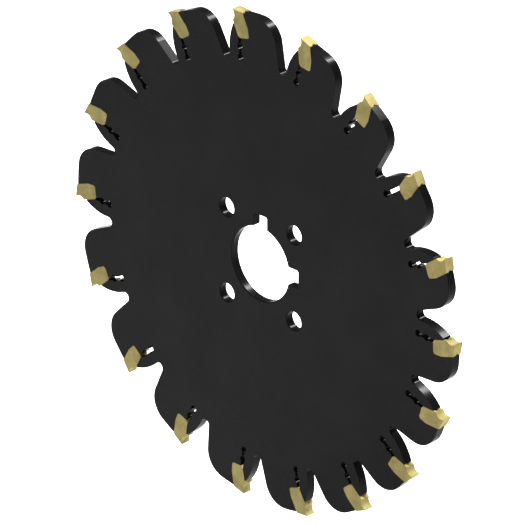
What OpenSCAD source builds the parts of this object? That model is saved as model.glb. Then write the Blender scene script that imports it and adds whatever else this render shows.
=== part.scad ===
// Disc slotting cutter with spring-gripped inserts.
// The disc stands upright like a wheel: its axis is Y, its front face looks along -Y,
// and the origin is the middle of the bore. Sizes are in millimetres.

/* [Cutter] */
// Diameter over the cutting edges
cutting_d = 254; // [220:1:330]
// Thickness of the steel disc
body_w = 4.8; // [4:0.1:5.6]
// How far the top of each tooth lies inside the cutting circle
land_drop = 1.4; // [1.2:0.1:2.6]
// Angle of the first cutting edge above +X
first_tooth = 121.5; // [0:0.5:180]
// How far the uneven spacing moves a tooth from its even place, in degrees
pitch_wave = 3.6; // [0:0.1:4]
// Where along the rim the uneven spacing starts, in degrees
pitch_phase = -135; // [-180:1:180]

/* [Bore and drive] */
// Diameter of the bore
bore_d = 38.1; // [25:0.1:46]
// Width of each keyway
key_w = 9.5; // [6:0.1:12]
// Depth of each keyway beyond the wall of the bore
key_depth = 6.5; // [3:0.1:8]
// Radius in the corners of the keyways
key_corner_r = 1; // [0.5:0.1:2]
// Diameter of the drive pin holes
pin_hole_d = 9.5; // [6:0.1:12]
// Diameter of the circle that the drive pin holes lie on
pin_circle_d = 63.5; // [60:0.1:90]
// Edge break on the bore and the drive pin holes
edge_break = 0.5; // [0.2:0.1:1]

/* [Gullet] */
// Depth of the gullet below the cutting circle
gullet_depth = 24.7; // [20:0.1:28]
// Radius at the bottom of the gullet
root_r = 2.5; // [2:0.1:3.6]
// How far the middle of that radius lies ahead of the cutting edge
root_ahead = 7.4; // [7:0.1:10]
// Slope of the back of the next tooth, away from the radius
back_slope = 21.5; // [18:0.5:30]
// Radius where the back meets the top of the tooth
back_r = 12; // [4:0.1:13]

/* [Clamping finger] */
// Radius of the finger's leading side
finger_r = 27; // [25:0.5:35]
// Radius of the finger's nose
nose_r = 0.6; // [0.4:0.1:0.8]
// Depth of the middle of the nose below the cutting circle
nose_depth = 8; // [6.8:0.1:8.4]
// Width of the slit that lets the finger spring
slit_w = 1.8; // [1.2:0.1:2.2]
// Length of the slit from the pocket to the middle of its end hole
slit_len = 9.6; // [8:0.1:11]
// Lean of the slit towards the gullet as it runs inward
slit_lean = 4; // [0:0.5:10]
// Diameter of the hole that ends the slit
end_hole_d = 3.5; // [2.5:0.1:4]
// Diameter of the hole that takes the release key
release_hole_d = 3.5; // [2.5:0.1:4]
// Distance from the pocket to the release hole
release_at = 4.2; // [3:0.1:5]

/* [Insert] */
// Width of the cutting edge
insert_w = 5.5; // [5:0.1:7.2]
// Thickness of the insert between the seat and the finger
insert_h = 8; // [6:0.1:9.6]
// Length of the insert along its leading side
insert_len = 14.3; // [12:0.1:17]
// Forward lean of the insert from the radius
lean = 17; // [12:0.5:20]
// How far the cutting edge lies behind the leading side
edge_back = 1.9; // [1:0.1:2.5]
// Clearance angle behind the cutting edge
clearance_angle = 10; // [5:0.5:12]
// Length of the chip groove
groove_len = 5.2; // [4:0.1:6.2]
// Radius of the chip groove
groove_r = 3.6; // [3.4:0.1:6]
// Slope of the inner end
end_slope = 13; // [8:0.5:20]
// Bevel on the corners of the inner end
insert_corner = 1; // [0.6:0.1:1.4]
// Angle by which each side narrows towards the inner end
side_relief = 1.25; // [1:0.25:2.5]
// Width of the guide ridges that centre the insert
ridge_w = 2.6; // [1.5:0.1:3]
// Height of the guide ridges
ridge_h = 0.8; // [0.4:0.1:1]
// Gap between the insert and its pocket
fit_gap = 0.03; // [0.02:0.01:0.1]

/* [Hidden] */
teeth = 18;
keyways = 2;
pin_holes = 4;
$fn = 96;
tiny = 0.01;
over = 2;
pocket_out = 6;

insert_names = [for (k = [1 : teeth]) str("insert_", k < 10 ? "0" : "", k)];

tip_r = cutting_d / 2;
land_r = tip_r - land_drop;
outer_r = tip_r + over;
bore_r = bore_d / 2;
key_reach = bore_r + key_depth;

// Tooth points are [outward, leading], measured from the disc's axis.
// The cutting edge lies at [tip_r, 0].

// Angle of a cutting edge: even spacing plus one slow wave around the rim
function tooth_angle(k) =
    first_tooth - k * 360 / teeth + pitch_wave * sin(k * 360 / teeth + pitch_phase);

// Point of the insert's own frame, [along, leading] from the cutting edge, as a tooth point
function from_insert(p) =
    [tip_r + p[0] * cos(lean) - p[1] * sin(lean), p[0] * sin(lean) + p[1] * cos(lean)];

// Where the finger's side of the pocket stands at a given distance from the axis
function pocket_front(r) =
    (edge_back + fit_gap - (tip_r - r) * sin(lean)) / cos(lean);

// Insert outline: the leading side, the seat and the slanted inner end, along and across
face = edge_back;
seat = face - insert_h;
seat_step = 1.1;
seat_step_len = 4;
flank_slope = tan(lean + clearance_angle);

// Where the inner end stands at a given distance behind the leading side
function end_at(across) = -insert_len - across * tan(end_slope);

// Corners of the inner end, moved outward by a gap
function inner_corners(gap) = [
    [end_at(0) + insert_corner, face + gap],
    [end_at(insert_corner) - gap, face - insert_corner],
    [end_at(insert_h - seat_step - insert_corner) - gap, seat + seat_step + insert_corner],
    [end_at(insert_h) + insert_corner, seat + seat_step - gap],
    [end_at(insert_h) + insert_corner + seat_step_len, seat - gap]
];

// Chip groove: a round cut from the cutting edge to the leading side
groove_end = [-groove_len, face];
groove_half = norm(groove_end) / 2;
groove_rise = sqrt(pow(groove_r, 2) - pow(groove_half, 2));
groove_mid = groove_end / 2 + groove_rise * [face, groove_len] / norm(groove_end);

// Guide ridges: the body's run down both walls, the insert's grooves are wider by the gap.
// Above the finger the gullet reaches past the ridge, so that none of it is left standing.
ridge_run = 2 * insert_len;
ridge_room = 0.5;

// Gullet: the round bottom, the finger's leading side and the next tooth's back
root = [tip_r - gullet_depth + root_r, root_ahead];
back_normal = [-sin(back_slope), cos(back_slope)];
back_along = [cos(back_slope), sin(back_slope)];
back_start = root + root_r * back_normal;
corner_offset = back_start * back_normal + back_r;
corner_reach = sqrt(pow(land_r - back_r, 2) - pow(corner_offset, 2));
corner = corner_offset * back_normal + corner_reach * back_along;
back_end = corner - back_r * back_normal;
corner_out = corner * outer_r / norm(corner);

finger_mid = root - [0, root_r + finger_r];
nose_out = tip_r - nose_depth - finger_mid[0];
nose_along = sqrt(pow(finger_r - nose_r, 2) - pow(nose_out, 2));
nose = finger_mid + [nose_out, nose_along];
nose_top = nose[0] + nose_r;

// Slit: it starts at the pocket's inner leading corner
slit_start = from_insert([-insert_len, face - slit_w / 4]);

module at_tooth(k) {
    rotate(tooth_angle(k)) children();
}

// Turns a front view drawn in X and Y into the upright disc's front view
module upright() {
    rotate([90, 0, 0]) children();
}

module finger_side() {
    intersection() {
        translate(finger_mid) circle(finger_r);
        polygon([
            finger_mid,
            finger_mid + [0, 2 * finger_r],
            finger_mid + 2 * (nose - finger_mid)
        ]);
    }
    translate(nose) circle(nose_r);
}

module gullet() {
    difference() {
        union() {
            translate(root) circle(root_r);
            polygon([
                [outer_r, pocket_front(outer_r) - ridge_h - ridge_room],
                [nose_top, pocket_front(nose_top) - ridge_h - ridge_room],
                [nose_top, nose[1]],
                nose,
                root - [0, root_r],
                root,
                back_start,
                back_end,
                corner,
                corner_out
            ]);
        }
        finger_side();
        translate(corner) circle(back_r);
    }
}

module slit() {
    translate(slit_start) rotate(180 - slit_lean) {
        translate([-slit_w / 2, -slit_w / 2]) square([slit_len + slit_w / 2, slit_w]);
        translate([release_at, 0]) circle(d = release_hole_d);
        translate([slit_len, 0]) circle(d = end_hole_d);
    }
}

// The pocket in the insert's frame: open towards the rim, wider than the insert by the gap
module pocket_outline() {
    polygon(concat(
        [[pocket_out, face + fit_gap]],
        inner_corners(fit_gap),
        [[pocket_out, seat - fit_gap]]
    ));
}

// A V-shaped rib along the insert, standing on a wall at a given height
module rib(wall, up, grow) {
    rise = ridge_h + grow;
    half = ridge_w / 2 + grow;
    translate([-ridge_run, 0, 0]) rotate([90, 0, 90]) linear_extrude(2 * ridge_run)
        polygon([
            [wall - up * over, -half],
            [wall, -half],
            [wall + up * rise, 0],
            [wall, half],
            [wall - up * over, half]
        ]);
}

module ribs(grow, gap) {
    rib(seat - gap, 1, grow);
    rib(face + gap, -1, grow);
}

module pocket() {
    difference() {
        linear_extrude(body_w + over, center = true) pocket_outline();
        ribs(-fit_gap, fit_gap);
    }
}

module bore_profile() {
    circle(bore_r);
    for (i = [0 : keyways - 1]) rotate(90 * i) {
        translate([0, -key_w / 2]) square([key_reach - key_corner_r, key_w]);
        translate([0, -key_w / 2 + key_corner_r]) square([key_reach, key_w - 2 * key_corner_r]);
        for (side = [-1, 1])
            translate([key_reach - key_corner_r, side * (key_w / 2 - key_corner_r)])
                circle(key_corner_r);
    }
}

// Edge breaks at both faces of a round hole
module edge_breaks(hole_r) {
    for (side = [0, 1]) mirror([0, 0, side])
        translate([0, 0, body_w / 2 - edge_break])
            cylinder(r1 = hole_r, r2 = hole_r + edge_break + tiny, h = edge_break + tiny);
}

module cutter_body() {
    color([0.13, 0.13, 0.14]) upright() difference() {
        linear_extrude(body_w, center = true) difference() {
            circle(land_r, $fn = 180);
            for (k = [0 : teeth - 1]) at_tooth(k) {
                gullet();
                slit();
            }
            bore_profile();
        }
        for (k = [0 : teeth - 1]) at_tooth(k)
            translate([tip_r, 0, 0]) rotate(lean) pocket();
        for (i = [0 : pin_holes - 1])
            rotate(45 + i * 360 / pin_holes) translate([pin_circle_d / 2, 0, 0]) {
                cylinder(d = pin_hole_d, h = body_w + over, center = true);
                edge_breaks(pin_hole_d / 2);
            }
        edge_breaks(bore_r);
    }
}

// The insert's leading and trailing sides, its clearance and its chip groove
module insert_side() {
    difference() {
        polygon(concat(
            [[face * flank_slope, face]],
            inner_corners(0),
            [[seat * flank_slope, seat]]
        ));
        translate(groove_mid) circle(groove_r);
    }
}

// The insert seen along its thickness: widest at the cutting edge
module insert_plan() {
    reach = insert_len + insert_h;
    slope = tan(side_relief);
    polygon([
        [over, insert_w / 2 + over * slope],
        [-reach, insert_w / 2 - reach * slope],
        [-reach, -insert_w / 2 + reach * slope],
        [over, -insert_w / 2 - over * slope]
    ]);
}

module insert(k) {
    color([0.78, 0.66, 0.24]) upright() at_tooth(k) translate([tip_r, 0, 0]) rotate(lean)
        difference() {
            intersection() {
                linear_extrude(2 * insert_w, center = true) insert_side();
                rotate([90, 0, 0]) linear_extrude(4 * insert_h, center = true) insert_plan();
            }
            ribs(0, 0);
        }
}

cutter_body();
for (k = [0 : teeth - 1])
    insert(k);
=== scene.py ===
"""A disc slotting cutter with gold inserts: materials, floor, light and camera."""
import math

import bpy
from mathutils import Matrix, Vector


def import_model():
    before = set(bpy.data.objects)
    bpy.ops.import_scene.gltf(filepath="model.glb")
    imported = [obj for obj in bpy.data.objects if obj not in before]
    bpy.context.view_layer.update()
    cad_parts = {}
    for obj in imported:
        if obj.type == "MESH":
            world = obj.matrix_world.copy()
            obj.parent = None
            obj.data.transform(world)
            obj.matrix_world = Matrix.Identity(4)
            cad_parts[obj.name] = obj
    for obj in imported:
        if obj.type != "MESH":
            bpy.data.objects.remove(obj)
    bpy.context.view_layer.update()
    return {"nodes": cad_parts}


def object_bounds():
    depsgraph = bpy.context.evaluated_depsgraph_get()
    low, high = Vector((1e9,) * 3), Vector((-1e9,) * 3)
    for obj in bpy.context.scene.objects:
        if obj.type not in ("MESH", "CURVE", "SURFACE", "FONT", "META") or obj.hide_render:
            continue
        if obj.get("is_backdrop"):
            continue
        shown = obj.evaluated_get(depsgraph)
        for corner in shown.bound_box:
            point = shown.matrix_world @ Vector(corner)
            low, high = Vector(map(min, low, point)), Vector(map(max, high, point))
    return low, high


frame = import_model()

MM = 0.001
BODY = "cutter_body"
INSERTS = sorted(name for name in frame["nodes"] if name.startswith("insert_"))


# ---------------------------------------------------------------- node helpers

def new_material(name):
    material = bpy.data.materials.new(name)
    material.use_nodes = True
    tree = material.node_tree
    return material, tree.nodes, tree.links, tree.nodes["Principled BSDF"]


def object_place(nodes):
    return nodes.new("ShaderNodeTexCoord").outputs["Object"]


def noise(nodes, links, vector, scale, detail, roughness):
    node = nodes.new("ShaderNodeTexNoise")
    node.inputs["Scale"].default_value = scale
    node.inputs["Detail"].default_value = detail
    node.inputs["Roughness"].default_value = roughness
    links.new(vector, node.inputs["Vector"])
    return node.outputs["Fac"]


def ramp(nodes, links, factor, low, high, stops=(0.3, 0.7)):
    """A colour that runs from low to high between the two stops."""
    node = nodes.new("ShaderNodeValToRGB")
    for element, place, colour in zip(node.color_ramp.elements, stops, (low, high)):
        element.position = place
        element.color = (*colour, 1)
    links.new(factor, node.inputs["Fac"])
    return node.outputs["Color"]


def grey_ramp(nodes, links, factor, low, high):
    return ramp(nodes, links, factor, (low,) * 3, (high,) * 3)


def bump(nodes, links, height, strength, distance, under=None):
    node = nodes.new("ShaderNodeBump")
    node.inputs["Strength"].default_value = strength
    node.inputs["Distance"].default_value = distance
    links.new(height, node.inputs["Height"])
    if under is not None:
        links.new(under, node.inputs["Normal"])
    return node.outputs["Normal"]


def blend(nodes, links, first, second, share):
    """The first value with a share of the second mixed in."""
    node = nodes.new("ShaderNodeMix")
    node.inputs["Factor"].default_value = share
    links.new(first, node.inputs["A"])
    links.new(second, node.inputs["B"])
    return node.outputs["Result"]


# ---------------------------------------------------------------- materials

OXIDE_GRAIN = 2400.0
OXIDE_CLOUD = 30.0
RING_SCALE = 420.0
RING_SHARE = 0.2
GOLD_GRAIN = 4200.0
GOLD_CLOUD = 190.0


def grinding_rings(nodes, links, place):
    """Fine, slightly wavy rings around the cutter's axis, left by the grinding wheel."""
    rings = nodes.new("ShaderNodeTexWave")
    rings.wave_type = "RINGS"
    rings.rings_direction = "Y"
    rings.inputs["Scale"].default_value = RING_SCALE
    rings.inputs["Distortion"].default_value = 2.5
    rings.inputs["Detail"].default_value = 3.0
    rings.inputs["Detail Scale"].default_value = 6.0
    links.new(place, rings.inputs["Vector"])
    return rings.outputs["Fac"]


def black_oxide(name, dark, light, roughness, ior):
    """Black oxide over steel: grinding rings under a grainy, mottled film."""
    material, nodes, links, shader = new_material(name)
    place = object_place(nodes)
    rings = grinding_rings(nodes, links, place)

    grain = noise(nodes, links, place, OXIDE_GRAIN, 4.0, 0.6)
    links.new(grey_ramp(nodes, links, grain, *roughness), shader.inputs["Roughness"])
    ground = bump(nodes, links, rings, 0.3, 0.01 * MM)
    film = bump(nodes, links, grain, 0.12, 0.03 * MM, under=ground)
    links.new(film, shader.inputs["Normal"])

    cloud = noise(nodes, links, place, OXIDE_CLOUD, 7.0, 0.6)
    mottle = blend(nodes, links, cloud, rings, RING_SHARE)
    colour = ramp(nodes, links, mottle, dark, light, stops=(0.3, 0.72))
    links.new(colour, shader.inputs["Base Color"])
    shader.inputs["IOR"].default_value = ior
    return material


def oxide_face():
    """The two ground faces of the disc."""
    dark = (0.0042, 0.0042, 0.0045)
    light = (0.0082, 0.0080, 0.0081)
    return black_oxide("black_oxide_steel", dark, light, roughness=(0.22, 0.34), ior=1.105)


def oxide_rim_painted_shade():
    """The cut outline, holes and slits: smoother than the ground faces, with a darker base
    colour and lower IOR that paint shade onto them.
    """
    # painted shade: this rim copy of the oxide is darker and reflects less than the face copy
    dark = (0.0022, 0.0022, 0.0024)
    light = (0.0044, 0.0043, 0.0044)
    return black_oxide("black_oxide_rim_painted_shade", dark, light, roughness=(0.18, 0.27), ior=1.085)


def gold_coating():
    """Matt gold nitride coating over pressed and ground carbide."""
    material, nodes, links, shader = new_material("gold_coated_carbide")
    place = object_place(nodes)

    cloud = noise(nodes, links, place, GOLD_CLOUD, 6.0, 0.62)
    colour = ramp(nodes, links, cloud, (0.235, 0.197, 0.074), (0.37, 0.315, 0.130))
    links.new(colour, shader.inputs["Base Color"])

    grain = noise(nodes, links, place, GOLD_GRAIN, 5.0, 0.7)
    links.new(grey_ramp(nodes, links, grain, 0.76, 0.88), shader.inputs["Roughness"])
    links.new(bump(nodes, links, grain, 0.22, 0.03 * MM), shader.inputs["Normal"])
    shader.inputs["Metallic"].default_value = 0.85
    return material


# ---------------------------------------------------------------- dressing the CAD nodes

FACE_SLOT = 0
RIM_SLOT = 1


def dress(node, materials):
    """Put a CAD node's materials in its slots, in order."""
    slots = frame["nodes"][node].data.materials
    slots.clear()
    for material in materials:
        slots.append(material)


def dress_body():
    """The disc: one material on the faces that look along its axis, another, a darker copy with
    painted shade, on the rest.
    """
    dress(BODY, [oxide_face(), oxide_rim_painted_shade()])
    for polygon in frame["nodes"][BODY].data.polygons:
        faces_along_axis = abs(polygon.normal.y) > 0.5
        polygon.material_index = FACE_SLOT if faces_along_axis else RIM_SLOT


def dress_inserts():
    coating = gold_coating()
    for insert in INSERTS:
        dress(insert, [coating])


dress_body()
dress_inserts()


# ---------------------------------------------------------------- floor and light

FLOOR_DROP = 0.11
FLOOR_HALF = 2.8
FLOOR_GREY = 0.93
GLOW = 0.3


def floor():
    """A plain floor well below the cutter, which its bore holds, so any insert can be pulled."""
    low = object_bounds()[0][2] - FLOOR_DROP
    half = FLOOR_HALF
    corners = [(-half, -half, low), (half, -half, low), (half, half, low), (-half, half, low)]
    mesh = bpy.data.meshes.new("floor")
    mesh.from_pydata(corners, [], [(0, 1, 2, 3)])
    ground = bpy.data.objects.new("floor", mesh)
    bpy.context.scene.collection.objects.link(ground)
    material, _, _, shader = new_material("pale_floor")
    shader.inputs["Base Color"].default_value = (FLOOR_GREY, FLOOR_GREY, FLOOR_GREY, 1)
    shader.inputs["Roughness"].default_value = 0.9
    mesh.materials.append(material)
    ground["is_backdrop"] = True


def area_light(name, place, size, watts):
    """A square lamp that points at the middle of the bore."""
    data = bpy.data.lights.new(name, "AREA")
    data.size = size
    data.energy = watts
    lamp = bpy.data.objects.new(name, data)
    lamp.location = place
    lamp.rotation_euler = (-Vector(place)).to_track_quat("-Z", "Y").to_euler()
    lamp.visible_camera = False
    bpy.context.scene.collection.objects.link(lamp)


def world():
    """A dim, even glow on the object, and behind it a white backdrop."""
    sky = bpy.data.worlds.new("studio")
    sky.use_nodes = True
    nodes = sky.node_tree.nodes
    links = sky.node_tree.links
    rays = nodes.new("ShaderNodeLightPath")
    level = nodes.new("ShaderNodeMapRange")
    level.inputs["To Min"].default_value = GLOW
    level.inputs["To Max"].default_value = 1.0
    links.new(rays.outputs["Is Camera Ray"], level.inputs["Value"])
    background = nodes["Background"]
    background.inputs["Color"].default_value = (1, 1, 1, 1)
    links.new(level.outputs["Result"], background.inputs["Strength"])
    bpy.context.scene.world = sky


floor()
world()
area_light("overhead", place=(0.3, 0.5, 3.5), size=5.0, watts=360)
area_light("back_high", place=(0.22, 1.55, 1.84), size=0.38, watts=112)
bpy.context.scene.view_settings.view_transform = "Standard"


# ---------------------------------------------------------------- camera

CAMERA_AZIMUTH = 45.0
CAMERA_ELEVATION = 25.1
CAMERA_DISTANCE = 2.642
CAMERA_LENS = 382.2
AIM_RIGHT = -0.00044


def camera():
    """A long lens aimed at the middle of the bore, a hair to the left."""
    azimuth = math.radians(CAMERA_AZIMUTH)
    elevation = math.radians(CAMERA_ELEVATION)
    back = Vector((
        math.sin(azimuth) * math.cos(elevation),
        -math.cos(azimuth) * math.cos(elevation),
        math.sin(elevation),
    ))
    right = Vector((0, 0, 1)).cross(back).normalized()
    up = back.cross(right)
    data = bpy.data.cameras.new("camera")
    data.lens = CAMERA_LENS
    data.sensor_width = 36
    data.clip_end = 50
    viewer = bpy.data.objects.new("camera", data)
    place = right * AIM_RIGHT + back * CAMERA_DISTANCE
    viewer.matrix_world = (
        Matrix.Translation(place) @ Matrix((right, up, back)).transposed().to_4x4()
    )
    bpy.context.scene.collection.objects.link(viewer)
    bpy.context.scene.camera = viewer


camera()
